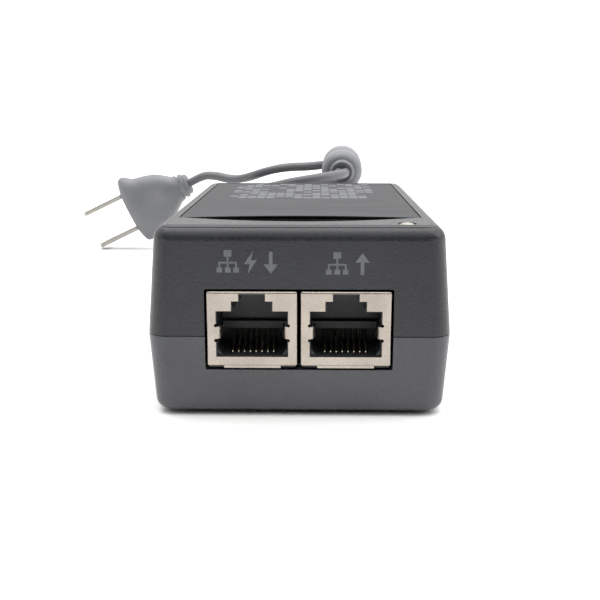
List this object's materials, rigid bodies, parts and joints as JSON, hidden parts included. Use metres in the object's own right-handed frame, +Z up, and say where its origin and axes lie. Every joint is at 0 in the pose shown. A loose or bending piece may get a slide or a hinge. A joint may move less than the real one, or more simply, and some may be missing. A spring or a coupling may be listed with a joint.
{
  "type": "poe injector",
  "caption": "Small rectangular mains-powered network injector with shielded modular ports at one end and a fixed coiled lead with a flat-blade plug at the other.",
  "frame": {"origin": "middle of the case's footprint, on the surface its rubber feet stand on", "axes": "+X to the right seen from the ports, +Y from the ports towards the mains end, +Z up; the ports face -Y"},
  "size_m": [0.1081, 0.1859, 0.0389],
  "materials": {
    "case_plastic": "moulded ABS and polycarbonate, fine spark texture, dark grey",
    "label_film": "printed polyester film, satin",
    "foot_rubber": "soft rubber, matt",
    "zinc_steel": "zinc-plated steel",
    "board_laminate": "glass-epoxy laminate with green solder mask",
    "insulation_film": "translucent insulating film",
    "nickel_plate": "bright nickel-plated steel, lightly warm",
    "jack_nylon": "glass-filled nylon, black",
    "gold_contact": "gold-plated spring bronze",
    "led_lens": "milky clear epoxy",
    "tinned_metal": "tinned copper and steel",
    "fuse_plastic": "brown moulded plastic",
    "thermistor_coat": "dark green dipped coating",
    "film_capacitor_box": "yellow moulded box",
    "ferrite": "sintered ferrite, dull grey",
    "enamelled_wire": "enamelled copper wire, wound",
    "moulding_compound": "black epoxy moulding compound",
    "capacitor_sleeve": "shrunk plastic sleeve",
    "heatsink_aluminium": "sheet aluminium, mill finish",
    "winding_tape": "yellow polyester tape",
    "safety_capacitor_coat": "blue dipped coating",
    "white_moulding": "white moulding compound",
    "resistor_coat": "tan lacquer",
    "wire_insulation": "PVC wire insulation",
    "lead_vinyl": "flexible PVC, satin grey",
    "tie_vinyl": "plastic-coated twist tie, black",
    "blade_brass": "nickel-plated brass"
  },
  "bodies": {
    "case": {"lower_case": "case_plastic", "upper_case": "case_plastic", "top_label": "label_film", "rubber_feet": "foot_rubber", "case_screws": "zinc_steel", "circuit_board": "board_laminate", "insulation_sheet": "insulation_film", "left_jack_shield": "nickel_plate", "left_jack_housing": "jack_nylon", "left_jack_insert": "jack_nylon", "left_jack_pins": "gold_contact", "right_jack_shield": "nickel_plate", "right_jack_housing": "jack_nylon", "right_jack_insert": "jack_nylon", "right_jack_pins": "gold_contact", "status_led": "led_lens", "led_legs": "tinned_metal", "led_spacer": "jack_nylon", "input_fuse": "fuse_plastic", "surge_thermistor": "thermistor_coat", "mains_filter_capacitor": "film_capacitor_box", "line_choke_core": "ferrite", "line_choke_windings": "enamelled_wire", "bridge_rectifier": "moulding_compound", "bulk_capacitor": "capacitor_sleeve", "switching_transistor": "moulding_compound", "primary_heatsink": "heatsink_aluminium", "transformer_core": "ferrite", "transformer_bobbin": "moulding_compound", "transformer_winding": "winding_tape", "safety_capacitor": "safety_capacitor_coat", "output_rectifier": "moulding_compound", "output_heatsink": "heatsink_aluminium", "output_capacitors": "capacitor_sleeve", "output_inductor": "ferrite", "optocoupler": "white_moulding", "control_chip": "moulding_compound", "resistors": "resistor_coat", "mains_wires": "wire_insulation", "strain_relief": "lead_vinyl", "lead_run": "lead_vinyl", "lead_coil": "lead_vinyl", "coil_tie": "tie_vinyl", "lead_choke": "lead_vinyl", "lead_tail": "lead_vinyl", "plug_body": "lead_vinyl", "plug_blades": "blade_brass"},
    "left_contacts": {"left_contacts": "gold_contact"},
    "right_contacts": {"right_contacts": "gold_contact"}
  },
  "joints": [
    {"name": "left_contacts_flex", "type": "hinge", "parent": "case", "child": "left_contacts", "pos_m": [-0.00795, -0.039, 0.0111], "axis": [1, 0, 0], "range_deg": [-12, 0], "stiffness_Nm_per_rad": 0.2},
    {"name": "right_contacts_flex", "type": "hinge", "parent": "case", "child": "right_contacts", "pos_m": [0.00795, -0.039, 0.0111], "axis": [1, 0, 0], "range_deg": [-12, 0], "stiffness_Nm_per_rad": 0.2}
  ]
}
